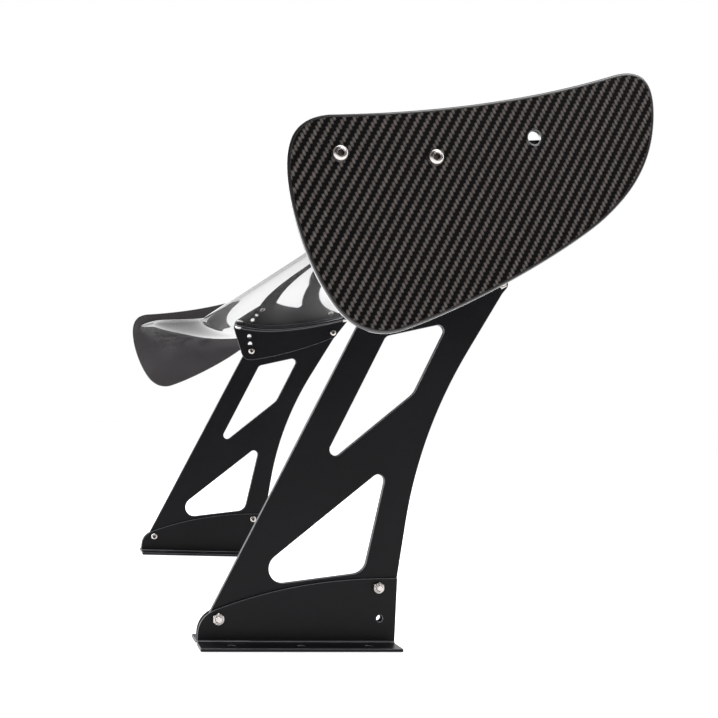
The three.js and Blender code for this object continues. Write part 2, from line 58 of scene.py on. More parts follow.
MM = 0.001
SIDES = {"left": -1, "right": 1}
FRONT_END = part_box("left_inner_deck_bracket")[0].x / MM
OVERALL_WIDTH = 1549
STAND_SPACING = 748
FIT_GAP = 0.3

STAND_THICKNESS = 6
SHEET_THICKNESS = 3
END_PLATE_THICKNESS = 4

DECK_BRACKET_LENGTH = 190
DECK_FLANGE_WIDTH = 34
DECK_HOLE_STATIONS = (30, 95, 160)
DECK_HOLE_LINE = 20
OUTER_BEND_RADIUS = 6

RAKE_PIVOT = Vector((18.5, 24.5))
RAKE_RANGE = 11
WING_PIVOT = Vector((284.6, 358.8))
# Lock holes are given from their pivot: a radius in millimetres and an angle in degrees.
RAKE_LOCKS = [(155.6, 11.5), (155.6, 0.5)]
ANGLE_LOCKS = [(136.2, 196.3), (136.2, 191.3), (136.2, 186.3)]

CENTRE_SECTION = {"lead": Vector((91.5, 378)), "trail": Vector((352.51, 404.973))}
TIP_SECTION = {"lead": Vector((0.5, 376)), "trail": Vector((224.5, 411.9))}
SWEEP_START = 380
LEAD_SWEEP_START = 520
LEAD_SWEEP_KNEE = 650
LEAD_SWEEP_SHARE = 0.62
THICKNESS_RATIO = 0.12
CAMBER = 0.05
SWEEP_CAMBER = 0.05
CAMBER_PLACE = 0.4
TRAILING_HALF_THICKNESS = 1.5
SKIN_THICKNESS = 2

SADDLE_WIDTH = 30
SADDLE_GAP = 0.4
SADDLE_FRONT = 124
SADDLE_REAR = 309
SADDLE_SCREW_STATIONS = {"front": 130, "rear": 299}

END_PLATE_HOLES = {"front": (22.4, 377.6), "rear": (84.8, 381.7), "spare": (152, 402)}
SPARE_HOLE_DIAMETER = 8.8

BOLT_HOLE = 6.6
BOLT_RADIUS = 3
BOLT_END = 1.8
HEAD_RADIUS = 5.25
HEAD_HEIGHT = 3.3
SOCKET_FLATS = 4
SOCKET_DEPTH = 2.1
THREAD_PITCH = 1
THREAD_DEPTH = 0.28
NUT_FLATS = 10
NUT_HEX_HEIGHT = 4
NUT_HEIGHT = 5
COLLAR_RADIUS = 4.4
WASHER_RADIUS = 5.4
WASHER_THICKNESS = 0.8
SCREW_REACH = 12
INSERT_LENGTH = 11

PLATE_ROUND = 1.1                    # each ROUND is the radius of a sheet's edges
STAND_ROUND = 0.5
BRACKET_ROUND = 0.35
WASHER_ROUND = 0.2
PLATE_BORDER = 2.2                   # bare resin round the outside of an end plate

STAND_INNER = (STAND_SPACING - STAND_THICKNESS) / 2
STAND_OUTER = STAND_INNER + STAND_THICKNESS
BRACKET_OUTER = STAND_INNER - FIT_GAP
BRACKET_INNER = BRACKET_OUTER - SHEET_THICKNESS
SADDLE_INNER_EDGE = BRACKET_OUTER - SADDLE_WIDTH
SADDLE_SCREW_LINE = (SADDLE_INNER_EDGE + BRACKET_INNER) / 2
HEAD_SEAT = BRACKET_INNER - FIT_GAP
DECK_NUT_SEAT = STAND_OUTER + FIT_GAP + SHEET_THICKNESS + FIT_GAP
STAND_NUT_SEAT = STAND_OUTER + FIT_GAP
PLATE_OUTER = OVERALL_WIDTH / 2
PLATE_INNER = PLATE_OUTER - END_PLATE_THICKNESS
SKIN_END = PLATE_INNER - FIT_GAP
BOLT_REACH = NUT_HEIGHT + BOLT_END   # from a nut's seat to the end of its bolt

ROUND_STEPS = 48                     # steps round a turned piece or a hole
CURVE_STEPS = 28                     # steps along a curved stretch of an outline
SAME_PLACE = 1e-7                    # in metres, corners closer than this are one corner

# ---------------------------------------------------------------- node graphs and finishes


class Graph:
    """The node tree of a material or of the world, with short calls for the nodes they share."""

    def __init__(self, owner):
        owner.use_nodes = True
        self.owner = owner
        self.tree = owner.node_tree

    def put(self, socket, value):
        if isinstance(value, bpy.types.NodeSocket):
            self.tree.links.new(value, socket)
        else:
            socket.default_value = value

    def node(self, kind, inputs=(), **settings):
        node = self.tree.nodes.new(kind)
        for key, value in settings.items():
            setattr(node, key, value)
        for key, value in dict(inputs).items():
            self.put(node.inputs[key], value)
        return node

    def math(self, operation, *values):
        node = self.node("ShaderNodeMath", operation=operation)
        for socket, value in zip(node.inputs, values):
            self.put(socket, value)
        return node.outputs[0]

    def place(self):
        return self.node("ShaderNodeTexCoord").outputs["Object"]

    def along(self, place, direction, period):
        """How far a place lies along a direction, counted in periods given in metres."""
        dot = self.node("ShaderNodeVectorMath", {0: place, 1: Vector(direction) / period},
                        operation="DOT_PRODUCT")
        return dot.outputs["Value"]

    def noise(self, place, scale, detail=2.0):
        node = self.node("ShaderNodeTexNoise", {"Vector": place, "Scale": scale, "Detail": detail})
        return node.outputs["Fac"]

    def spread(self, value, low, high):
        """A value from 0 to 1, spread between two numbers."""
        node = self.node("ShaderNodeMapRange", {"Value": value, "To Min": low, "To Max": high})
        return node.outputs["Result"]

    def blend(self, factor, first, second):
        node = self.node("ShaderNodeMix", data_type="RGBA")
        self.put(node.inputs["Factor"], factor)
        self.put(node.inputs[6], first)
        self.put(node.inputs[7], second)
        return node.outputs[2]

    def bump(self, height, distance, strength=1.0):
        inputs = {"Height": height, "Distance": distance, "Strength": strength}
        return self.node("ShaderNodeBump", inputs).outputs["Normal"]

    def fill(self, name, **sockets):
        """Sets the sockets of a node that the tree came with, and returns the tree's owner."""
        for key, value in sockets.items():
            self.put(self.tree.nodes[name].inputs[key.replace("_", " ")], value)
        return self.owner

    def finish(self, **sockets):
        return self.fill("Principled BSDF", **sockets)


def material_graph(name):
    return Graph(bpy.data.materials.new(name))


def rgb(red, green, blue):
    return (red, green, blue, 1.0)


def anodised_plate(name, dark, light, roughness):
    """Black anodised aluminium: a fine matt grain with slow changes in sheen."""
    graph = material_graph(name)
    place = graph.place()
    clouds = graph.noise(place, scale=14.0, detail=4.0)
    grain = graph.noise(place, scale=2600.0)
    colour = graph.blend(clouds, dark, light)
    rough = graph.spread(clouds, low=roughness - 0.05, high=roughness + 0.07)
    normal = graph.bump(grain, distance=0.00002, strength=0.5)
    return graph.finish(Base_Color=colour, Roughness=rough, Normal=normal, Specular_IOR_Level=0.14)


def bare_metal(name, colour, roughness):
    """Bare metal of one colour, with a faint grain."""
    graph = material_graph(name)
    grain = graph.noise(graph.place(), scale=900.0, detail=3.0)
    rough = graph.spread(grain, low=roughness - 0.06, high=roughness + 0.08)
    normal = graph.bump(grain, distance=0.00002, strength=0.4)
    return graph.finish(Base_Color=colour, Metallic=1.0, Roughness=rough, Normal=normal)


def plain_composite(name, dark, light):
    """Matt moulded composite with a soft, uneven surface."""
    graph = material_graph(name)
    clouds = graph.noise(graph.place(), scale=120.0, detail=5.0)
    normal = graph.bump(clouds, distance=0.0002)
    return graph.finish(Base_Color=graph.blend(clouds, dark, light), Roughness=0.75, Normal=normal)


def twill(name, first, second, bright, dark, coat, gloss, relief):
    """2 by 2 carbon twill under a clear coat, with tows along two directions.

    Each tow that runs along the second direction passes over two of the others and under two, one
    step further on than its neighbour. Where such a tow lies on top it takes the bright colour, most on
    the crown of each float: a painted highlight for the sheen of the fibres, whose strength varies at
    random from cell to cell. A relief above 0 shades the tows as bumps."""
    tow = 0.00209
    crown_power = 0.5
    end_power = 0.6
    over = 2
    repeat = 2 * over
    graph = material_graph(name)
    place = graph.place()
    u = graph.along(place, first, tow)
    v = graph.along(place, second, tow)
    column = graph.math("FLOOR", u)
    row = graph.math("FLOOR", v)
    lift = graph.math("FLOORED_MODULO", graph.math("SUBTRACT", v, column), repeat)
    step = graph.math("FLOORED_MODULO", graph.math("SUBTRACT", row, column), repeat)
    on_top = graph.math("LESS_THAN", step, over)
    under = graph.math("FLOORED_MODULO", graph.math("SUBTRACT", u, row), repeat)

    def float_height(across, run):
        """The crown of one float: rounded across the tow and dipping at both ends of its run."""
        crown = graph.math("SINE", graph.math("MULTIPLY", graph.math("FRACT", across), math.pi))
        ends = graph.math("SINE", graph.math("MULTIPLY", run, math.pi))
        crown = graph.math("POWER", crown, crown_power)
        return graph.math("MULTIPLY", crown, graph.math("POWER", ends, end_power))

    lengthwise = float_height(u, graph.math("MULTIPLY", lift, 1 / over))
    run = graph.math("MULTIPLY", graph.math("SUBTRACT", under, 1), 1 / over)
    crosswise = float_height(v, graph.math("MAXIMUM", run, 0))
    height = graph.node("ShaderNodeMix", {"Factor": on_top, 2: crosswise, 3: lengthwise}).outputs[0]
    cell = graph.node("ShaderNodeCombineXYZ", {"X": column, "Y": row}).outputs[0]
    shade = graph.node("ShaderNodeTexWhiteNoise", {"Vector": cell}).outputs["Value"]
    # Painted highlight: the bright colour on top tows along the second direction, strongest on their
    # crowns.
    strength = graph.math("MULTIPLY", lengthwise, graph.spread(shade, low=0.72, high=1.1))
    painted_highlight = graph.math("MULTIPLY", strength, on_top)
    colour = graph.blend(painted_highlight, dark, bright)
    if relief:
        graph.finish(Normal=graph.bump(height, distance=0.0001, strength=relief))
    return graph.finish(Base_Color=colour, Roughness=0.42, Specular_IOR_Level=0.06,
                        Coat_Weight=coat, Coat_Roughness=gloss)


def gloss_black(name, dark, light, gloss):
    """The lacquered inside of a carbon plate, where the weave hardly shows."""
    graph = material_graph(name)
    clouds = graph.noise(graph.place(), scale=9.0, detail=3.0)
    colour = graph.blend(clouds, dark, light)
    return graph.finish(Base_Color=colour, Roughness=0.35, Coat_Weight=1.0, Coat_Roughness=gloss)


def clear_resin(name, dark, light):
    """The edge of a carbon moulding, where the resin has no weave in it."""
    graph = material_graph(name)
    clouds = graph.noise(graph.place(), scale=300.0, detail=3.0)
    colour = graph.blend(clouds, dark, light)
    return graph.finish(Base_Color=colour, Roughness=0.3, Coat_Weight=1.0, Coat_Roughness=0.06)


def turned_axes(angle, upward):
    """The x axis and a second one, both turned by an angle in their plane."""
    cosine = math.cos(angle)
    sine = math.sin(angle)
    forward = Vector((1, 0, 0))
    return forward * cosine + upward * sine, upward * cosine - forward * sine


PLATE_TOWS = turned_axes(math.radians(20), Vector((0, 0, 1)))
SKIN_TOWS = turned_axes(math.radians(45), Vector((0, 1, 0)))

ANODISED = anodised_plate("anodised", rgb(0.0022, 0.0022, 0.0027), rgb(0.0055, 0.0054, 0.0068), 0.36)
# A lighter grey for the edge rounds, also used as a painted highlight along the middle of each bend.
ANODISED_EDGE_AND_BEND_HIGHLIGHT = anodised_plate("anodised_edge_and_bend_highlight", rgb(0.1, 0.1, 0.105), rgb(0.16, 0.16, 0.17), 0.3)
# The first colour of each twill is its painted highlight; the second is the carbon's own near-black.
PLATE_CARBON = twill("plate_carbon", *PLATE_TOWS, rgb(0.1, 0.088, 0.082), rgb(0.0014, 0.001, 0.001),
                     coat=0.35, gloss=0.05, relief=0.35)
SKIN_CARBON = twill("skin_carbon", *SKIN_TOWS, rgb(0.012, 0.011, 0.011), rgb(0.004, 0.004, 0.004),
                    coat=1.0, gloss=0.035, relief=0)
PLATE_INSIDE = gloss_black("plate_inside", rgb(0.017, 0.015, 0.016), rgb(0.042, 0.037, 0.04), 0.1)
RESIN = clear_resin("resin_edge", rgb(0.006, 0.005, 0.005), rgb(0.012, 0.01, 0.01))
STAINLESS = bare_metal("stainless", rgb(0.5, 0.47, 0.45), 0.24)
# Darker, rougher steel: painted shade inside the screw sockets and on the washer rims.
PAINTED_SHADE_STEEL = bare_metal("painted_shade_steel", rgb(0.06, 0.05, 0.045), 0.45)
BARE_ALUMINIUM = bare_metal("bare_aluminium", rgb(0.66, 0.67, 0.68), 0.35)
COMPOSITE = plain_composite("rib_composite", rgb(0.14, 0.125, 0.09), rgb(0.22, 0.2, 0.14))

# ---------------------------------------------------------------- outlines


class Outline:
    """A closed outline in two coordinates, drawn stretch by stretch from its start, if it has one."""

    def __init__(self, *start):
        self.points = [Vector(start)] if start else []

    def line(self, x, z):
        self.points.append(Vector((x, z)))

    def quadratic(self, mid_x, mid_z, x, z):
        start = self.points[-1]
        middle = Vector((mid_x, mid_z))
        end = Vector((x, z))
        for i in range(1, CURVE_STEPS + 1):
            t = i / CURVE_STEPS
            self.points.append(start * (1 - t) ** 2 + middle * 2 * t * (1 - t) + end * t**2)

    def bezier(self, first_x, first_z, second_x, second_z, x, z):
        start = self.points[-1]
        first = Vector((first_x, first_z))
        second = Vector((second_x, second_z))
        end = Vector((x, z))
        for i in range(1, CURVE_STEPS + 1):
            t = i / CURVE_STEPS
            near = start * (1 - t) ** 3 + first * 3 * t * (1 - t) ** 2
            self.points.append(near + second * 3 * t**2 * (1 - t) + end * t**3)

    def arc(self, centre, radius, start, end):
        fewest = 3
        steps = max(fewest, round(abs(end - start) / (2 * math.pi) * ROUND_STEPS))
        for i in range(steps + 1):
            self.points.append(centre + polar(radius, start + (end - start) * i / steps))


def polar(radius, angle):
    """The point at a radius and an angle, in radians, from the origin."""
    return Vector((radius * math.cos(angle), radius * math.sin(angle)))


def hole(centre, diameter):
    """The outline of a round hole."""
    centre = Vector(centre)
    return [centre + polar(diameter / 2, 2 * math.pi * i / ROUND_STEPS) for i in range(ROUND_STEPS)]


def locks(pivot, holes):
    """The centres of lock holes that are given by radius and angle."""
    return [pivot + polar(radius, math.radians(angle)) for radius, angle in holes]


def rounded(corners):
    """A closed outline of straight edges; each corner is (x, z, radius)."""
    outline = Outline()
    count = len(corners)
    for i, (x, z, radius) in enumerate(corners):
        corner = Vector((x, z))
        back = (Vector(corners[i - 1][:2]) - corner).normalized()
        ahead = (Vector(corners[(i + 1) % count][:2]) - corner).normalized()
        half = back.angle(ahead) / 2
        centre = corner + (back + ahead).normalized() * radius / math.sin(half)
        start = corner + back * radius / math.tan(half) - centre
        end = corner + ahead * radius / math.tan(half) - centre
        first = math.atan2(start.y, start.x)
        outline.arc(centre, radius, first, first - start.angle_signed(end))
    return outline.points


def tidy_loop(points, counter_clockwise):
    """The loop without repeated points, turned to run the wanted way round."""
    closest = 0.01
    kept = [p for i, p in enumerate(points) if (p - points[i - 1]).length > closest]
    area = sum(kept[i - 1].cross(kept[i]) for i in range(len(kept)))
    return kept if (area > 0) == counter_clockwise else kept[::-1]


def inset(loop, distance):
    """The loop moved to its left, into the material, with its corners mitred."""
    moved = []
    for i, here in enumerate(loop):
        first = (here - loop[i - 1]).normalized().orthogonal()
        second = (loop[(i + 1) % len(loop)] - here).normalized().orthogonal()
        bisector = first + second
        moved.append(here + bisector * 2 * distance / bisector.length_squared)
    return moved


# ---------------------------------------------------------------- meshes


def to_world(x, y, z):
    """World metres for a side-profile place and a distance to the car's right, in millimetres."""
    return ((x + FRONT_END) * MM, y * MM, z * MM)


def add_piece(name, mesh, body, nodes, materials, sharp=35):
    """Makes an object of a bmesh in world metres, puts it under its body and hides the parts it stands for.

    Edges that turn by more than the sharp angle, in degrees, are shaded as sharp."""
    bmesh.ops.remove_doubles(mesh, verts=mesh.verts, dist=SAME_PLACE)
    bmesh.ops.recalc_face_normals(mesh, faces=mesh.faces)
    data = bpy.data.meshes.new(name)
    mesh.to_mesh(data)
    mesh.free()
    for material in materials:
        data.materials.append(material)
    data.shade_smooth()
    data.set_sharp_from_angle(angle=math.radians(sharp))
    piece = bpy.data.objects.new(name, data)
    bpy.context.scene.collection.objects.link(piece)
    weighted = piece.modifiers.new("weighted_normals", "WEIGHTED_NORMAL")
    weighted.keep_sharp = True
    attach(piece, body)
    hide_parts(*nodes)
    return piece


def sheet_mesh(loops, thickness, edge, border=0, back=0):
    """A flat sheet with rounded edges: outline coordinates, then depth, from 0 to its thickness.

    The first loop is the outside and the others are holes. The rounds along the edges take the
    second material. With a border, so do the whole edge and a strip of that width round the
    outside. The face at depth 0 takes the material whose number is given as the back."""
    edge_steps = 3
    loops = [tidy_loop(loop, i == 0) for i, loop in enumerate(loops)]
    rounds = [math.pi / 2 * i / edge_steps for i in range(edge_steps + 1)]
    profile = [(edge * (1 - math.sin(a)), edge * (1 - math.cos(a))) for a in rounds]
    profile += [(inward, thickness - depth) for inward, depth in reversed(profile)]
    mesh = bmesh.new()
    ends = []
    for number, loop in enumerate(loops):
        levels = profile
        if border and number == 0:
            levels = [(border, 0), *profile, (border, thickness)]
        rings = []
        for inward, depth in levels:
            rings.append([mesh.verts.new((p.x, p.y, depth)) for p in inset(loop, inward)])
        middle = len(rings) // 2 - 1
        for band, (lower, upper) in enumerate(zip(rings, rings[1:])):
            for i in range(len(loop)):
                face = mesh.faces.new((lower[i - 1], lower[i], upper[i], upper[i - 1]))
                face.material_index = 0 if band == middle and not border else 1
        ends.append((rings[0], rings[-1]))
    for which in (0, 1):
        rings = [end[which] for end in ends]
        flat = [vertex for ring in rings for vertex in ring]
        for triangle in tessellate_polygon([[vertex.co for vertex in ring] for ring in rings]):
            face = mesh.faces.new([flat[i] for i in triangle])
            face.material_index = 0 if which else back
    return mesh


def move_vertices(mesh, mapping):
    """Moves each vertex to what a function makes of its three coordinates."""
    for vertex in mesh.verts:
        vertex.co = mapping(*vertex.co)
    return mesh


def slice_mesh(mesh, axis, stations):
    """Cuts edges into the mesh at stations along an axis, so that it can bend there."""
    normal = Vector((0, 0, 0))
    normal[axis] = 1
    near = 1e-4
    for station in stations:
        geometry = [*mesh.verts, *mesh.edges, *mesh.faces]
        bmesh.ops.bisect_plane(mesh, geom=geometry, plane_co=normal * station, plane_no=normal, dist=near)


def fold(across, depth):
    """Where a point of a folded sheet lies: its distances in from the two outer faces.

    A positive distance across the sheet runs up the upright and a negative one along the flange."""
    radius = OUTER_BEND_RADIUS
    if across >= radius:
        return depth, across
    if across <= -radius:
        return -across, depth
    angle = (1 - across / radius) * math.pi / 4
    return radius - (radius - depth) * math.cos(angle), radius - (radius - depth) * math.sin(angle)


def slice_bend(mesh):
    """Cuts a sheet's bend into steps. Its middle takes the lighter second material: a painted highlight."""
    steps = 10
    highlight_share = 0.3
    radius = OUTER_BEND_RADIUS
    slice_mesh(mesh, 1, [radius * (2 * i / steps - 1) for i in range(steps + 1)])
    for face in mesh.faces:
        # Faces along the middle of the bend get the lighter grey as a painted highlight.
        if abs(face.calc_center_median().y) < highlight_share * radius:
            face.material_index = 1


def join_rings(mesh, rings):
    """Joins each ring of vertices to the next with a band of faces, and closes both ends."""
    for lower, upper in zip(rings, rings[1:]):
        for i in range(len(lower)):
            mesh.faces.new((lower[i - 1], lower[i], upper[i], upper[i - 1]))
    mesh.faces.new(rings[0])
    mesh.faces.new(rings[-1])
    return mesh


def turned(profile):
    """A closed piece round the z axis, by radius and height. A radius may be a function of angle."""
    mesh = bmesh.new()
    rings = []
    for radius, z in profile:
        ring = []
        for i in range(ROUND_STEPS):
            angle = 2 * math.pi * i / ROUND_STEPS
            reach = radius(angle) if callable(radius) else radius
            ring.append(mesh.verts.new((*polar(reach, angle), z)))
        rings.append(ring)
    return join_rings(mesh, rings)


def merged(*meshes):
    """One bmesh that holds several, each of which is freed."""
    whole = bmesh.new()
    for mesh in meshes:
        data = bpy.data.meshes.new("scratch")
        mesh.to_mesh(data)
        mesh.free()
        whole.from_mesh(data)
        bpy.data.meshes.remove(data)
    return whole


def pointed(mesh, side, direction, centre, seat):
    """Points a piece made about z outboard (+1) or inboard (-1), with z = 0 at a seat."""

    def place(x, y, z):
        return to_world(centre[0] + x, side * (seat + direction * z), centre[1] + y)

    return move_vertices(mesh, place)


# ---------------------------------------------------------------- airfoil sections


def camber_line(fraction):
    """The camber line at a fraction of the chord: 0 at both ends and -1 at its lowest place."""
    reach = CAMBER_PLACE if fraction < CAMBER_PLACE else 1 - CAMBER_PLACE
    return ((fraction - CAMBER_PLACE) / reach) ** 2 - 1


def half_thickness(fraction, chord):
    """The four-digit airfoil family's thickness formula, with a blunt trailing edge added."""
    f = fraction
    closed = 0.2969 * math.sqrt(f) - 0.126 * f - 0.3516 * f**2 + 0.2843 * f**3 - 0.1036 * f**4
    return 5 * THICKNESS_RATIO * closed * chord + TRAILING_HALF_THICKNESS * f


def smoothstep(value, start, end):
    """0 up to the start, 1 from the end on, and an S-shaped rise between them."""
    t = min(max((value - start) / (end - start), 0), 1)
    return t**2 * (3 - 2 * t)


def section_at(distance):
    """The section at a distance from the centre line: it sweeps forward and twists to the tip.

    The leading edge turns forward further out than the trailing edge, and more sharply."""
    knee = smoothstep(distance, LEAD_SWEEP_START, LEAD_SWEEP_KNEE)
    outer = smoothstep(distance, LEAD_SWEEP_START, PLATE_OUTER)
    lead_blend = LEAD_SWEEP_SHARE * knee + (1 - LEAD_SWEEP_SHARE) * outer
    trail_blend = smoothstep(distance, SWEEP_START, PLATE_OUTER)
    lead = CENTRE_SECTION["lead"].lerp(TIP_SECTION["lead"], lead_blend)
    trail = CENTRE_SECTION["trail"].lerp(TIP_SECTION["trail"], trail_blend)
    chord = trail - lead
    camber = CAMBER + SWEEP_CAMBER * math.sin(math.pi * trail_blend) ** 2
    return {"lead": lead, "chord": chord.length, "along": chord.normalized(), "camber": camber}


def section_point(section, fraction, height):
    """A place by its fraction of the chord and its height over the camber line."""
    along = section["along"]
    up = camber_line(fraction) * section["camber"] * section["chord"] + height
    return section["lead"] + along * fraction * section["chord"] + Vector((-along.y, along.x)) * up


def underside_height(x, drop):
    """How high the middle section's underside is at x, less a drop."""
    section = section_at(0)
    fraction = (x - section["lead"].x) / section["chord"]
    corrections = 8
    for _ in range(corrections):
        face = section_point(section, fraction, -half_thickness(fraction, section["chord"]))
        fraction += (x - face.x) / section["chord"]
    return face.y - drop


def skin_mesh(side):
    """The upper (+1) or lower (-1) shell: a loop out along its face and back along its inside."""
    nose = 0.0009
    steps = 56
    sweep_steps = 44
    centre_steps = 12
    lip = 0.7
    lip_steps = 4
    least = FIT_GAP / 2
    swept = [SWEEP_START + (SKIN_END - SWEEP_START) * i / sweep_steps for i in range(sweep_steps + 1)]
    middle = [SWEEP_START * (2 * i / centre_steps - 1) for i in range(1, centre_steps)]
    stations = [-y for y in reversed(swept)] + middle + swept
    fractions = [nose + (1 - nose) * (1 - math.cos(math.pi / 2 * i / steps)) for i in range(steps + 1)]
    rim = [math.pi / 2 * i / lip_steps for i in range(lip_steps + 1)]
    mesh = bmesh.new()
    rings = []
    for y in stations:
        section = section_at(abs(y))
        chord = section["chord"]
        heights = [half_thickness(f, chord) for f in fractions]
        outer = list(zip(fractions, heights))[:-1]
        outer += [(1 - lip * (1 - math.sin(a)) / chord, heights[-1] - lip * (1 - math.cos(a))) for a in rim]
        inner = [(f, max(h - SKIN_THICKNESS, least)) for f, h in zip(fractions, heights)]
        loop = [section_point(section, f, side * h) for f, h in outer + inner[::-1]]
        rings.append([mesh.verts.new(to_world(p.x, y, p.y)) for p in loop])
    return join_rings(mesh, rings)


def build_airfoil():
    for word, side in (("upper", 1), ("lower", -1)):
        name = f"airfoil_{word}_skin"
        add_piece(f"fine_{name}", skin_mesh(side), "wing", [name], [SKIN_CARBON], sharp=50)


# ---------------------------------------------------------------- end plates


def end_plate_outline():
    """From the front edge along the top to the rear corner, and back along the belly."""
    outline = Outline(-10.5, 371)
    outline.bezier(-10.5, 388, -3, 398.5, 14.5, 402)
    outline.quadratic(121.5, 415.9, 205, 449.8)
    outline.bezier(225, 458, 237, 452, 237, 423.5)
    outline.bezier(237, 393, 223, 371, 200.5, 350)
    outline.bezier(170, 323.5, 110, 286.5, 68.5, 270)
    outline.bezier(53, 264, 34, 267.5, 20, 288)
    outline.bezier(6, 306, -10.5, 345, -10.5, 371)
    return outline.points


def build_end_plate(label, side):
    holes = [hole(END_PLATE_HOLES[key], BOLT_HOLE) for key in ("front", "rear")]
    holes.append(hole(END_PLATE_HOLES["spare"], SPARE_HOLE_DIAMETER))
    mesh = sheet_mesh([end_plate_outline(), *holes], END_PLATE_THICKNESS, PLATE_ROUND,
                      border=PLATE_BORDER, back=2)
    move_vertices(mesh, lambda x, z, depth: to_world(x, side * (PLATE_INNER + depth), z))
    name = f"{label}_end_plate"
    add_piece(f"fine_{name}", mesh, "wing", [name], [PLATE_CARBON, RESIN, PLATE_INSIDE])


# ---------------------------------------------------------------- stands


def stand_outline():
    """A foot that slopes up by the rake's range, a leaning front edge and a curved rear edge."""
    lean = 0.463
    foot_x = -3.2
    foot_drop = 15
    foot_slope = math.tan(math.radians(RAKE_RANGE))
    toe_round = 19
    toe_ease = 2
    heel_x = 190
    ear_radius = 8
    top_z = 331

    def front_x(z):
        return foot_x + lean * z

    def toe_z(x):
        return RAKE_PIVOT.y - foot_drop + foot_slope * (x - RAKE_PIVOT.x)

    toe_x = (front_x(0) + lean * toe_z(0)) / (1 - lean * foot_slope)
    outline = Outline(toe_x + toe_round, toe_z(toe_x + toe_round))
    outline.line(heel_x, toe_z(heel_x))
    outline.line(heel_x + 0.5, 64)
    outline.line(197.1, 120)
    outline.quadratic(207.4, 207.8, 253.7, 290)
    outline.line(286.9, 349)
    outline.arc(WING_PIVOT, ear_radius, start=-0.5, end=1.9)
    outline.quadratic(186, top_z, front_x(top_z), top_z)
    toe_top = toe_z(toe_x) + toe_round
    outline.line(front_x(toe_top), toe_top)
    toe_end = toe_x + toe_round
    outline.quadratic(toe_x + toe_ease, toe_z(toe_x) + toe_ease, toe_end, toe_z(toe_end))
    return outline.points


def build_stand(label, side):
    upper_window = rounded([(168.1, 298.2, 8), (106.3, 163.2, 6), (199.3, 244, 22), (232, 316, 6)])
    lower_window = rounded([(176.7, 173.9, 6.5), (32.1, 50.8, 14), (157.1, 69.1, 14)])
    centres = [RAKE_PIVOT, locks(RAKE_PIVOT, RAKE_LOCKS)[0], WING_PIVOT, locks(WING_PIVOT, ANGLE_LOCKS)[0]]
    holes = [hole(centre, BOLT_HOLE) for centre in centres]
    mesh = sheet_mesh([stand_outline(), upper_window, lower_window, *holes], STAND_THICKNESS, STAND_ROUND)
    move_vertices(mesh, lambda x, z, depth: to_world(x, side * (STAND_INNER + depth), z))
    name = f"{label}_stand"
    add_piece(f"fine_{name}", mesh, "stands", [name], [ANODISED, ANODISED_EDGE_AND_BEND_HIGHLIGHT])


# ---------------------------------------------------------------- brackets


def build_deck_bracket(label, side, word, face, away):
    """A folded angle: the upright's outer face lies at the stand and the flange's on the deck.

    The upright stands at that face of the stand, on its outboard (+1) or inboard (-1) side."""
    outline = Outline(0, -DECK_FLANGE_WIDTH)
    outline.line(DECK_BRACKET_LENGTH, -DECK_FLANGE_WIDTH)
    outline.line(DECK_BRACKET_LENGTH, 64.4)
    outline.quadratic(94.5, 64.4, 16, 33)
    outline.quadratic(0, 26.6, 0, 10)
    bolt_holes = [hole(centre, BOLT_HOLE) for centre in (RAKE_PIVOT, *locks(RAKE_PIVOT, RAKE_LOCKS))]
    deck_holes = [hole((x, -DECK_HOLE_LINE), BOLT_HOLE) for x in DECK_HOLE_STATIONS]
    mesh = sheet_mesh([outline.points, *bolt_holes, *deck_holes], SHEET_THICKNESS, BRACKET_ROUND)
    slice_bend(mesh)
    near = face + away * FIT_GAP

    def place(x, across, depth):
        sideways, up = fold(across, depth)
        return to_world(x, side * (near + away * sideways), up)

    move_vertices(mesh, place)
    name = f"{label}_{word}_deck_bracket"
    add_piece(f"fine_{name}", mesh, "root", [name], [ANODISED, ANODISED_EDGE_AND_BEND_HIGHLIGHT])


def build_wing_bracket(label, side):
    """An upright against the stand, folded under the airfoil as a saddle that follows it."""

    def drop(x, z):
        """How far a point of the upright lies below the saddle's top face."""
        return Vector((x, underside_height(x, SADDLE_GAP) - z))

    profile = Outline(SADDLE_FRONT, underside_height(SADDLE_FRONT, SADDLE_GAP + OUTER_BEND_RADIUS))
    profile.line(137.5, 319)
    profile.quadratic(141.5, 305, 155, 306.5)
    profile.quadratic(215, 317.9, 288, 351.5)
    profile.line(SADDLE_REAR, underside_height(SADDLE_REAR, SADDLE_GAP + OUTER_BEND_RADIUS))
    outline = [drop(*point) for point in profile.points]
    outline += [Vector((SADDLE_REAR, -SADDLE_WIDTH)), Vector((SADDLE_FRONT, -SADDLE_WIDTH))]
    centres = [WING_PIVOT, *locks(WING_PIVOT, ANGLE_LOCKS)]
    holes = [[drop(*point) for point in hole(centre, BOLT_HOLE)] for centre in centres]
    screw_line = BRACKET_OUTER - SADDLE_SCREW_LINE
    holes += [hole((x, -screw_line), BOLT_HOLE) for x in SADDLE_SCREW_STATIONS.values()]
    mesh = sheet_mesh([outline, *holes], SHEET_THICKNESS, BRACKET_ROUND)
    slice_bend(mesh)
    steps = 36
    slice_mesh(mesh, 0, [SADDLE_FRONT + (SADDLE_REAR - SADDLE_FRONT) * i / steps for i in range(1, steps)])

    def place(x, across, depth):
        sideways, down = fold(across, depth)
        return to_world(x, side * (BRACKET_OUTER - sideways), underside_height(x, SADDLE_GAP + down))

    move_vertices(mesh, place)
    name = f"{label}_wing_bracket"
    add_piece(f"fine_{name}", mesh, "wing", [name], [ANODISED, ANODISED_EDGE_AND_BEND_HIGHLIGHT])


# ---------------------------------------------------------------- fasteners


def hexagon(flats):
    """A hexagon's reach as a function of angle, from its width over flats."""
    sixth = math.pi / 3
    return lambda angle: flats / 2 / math.cos((angle + sixth / 2) % sixth - sixth / 2)


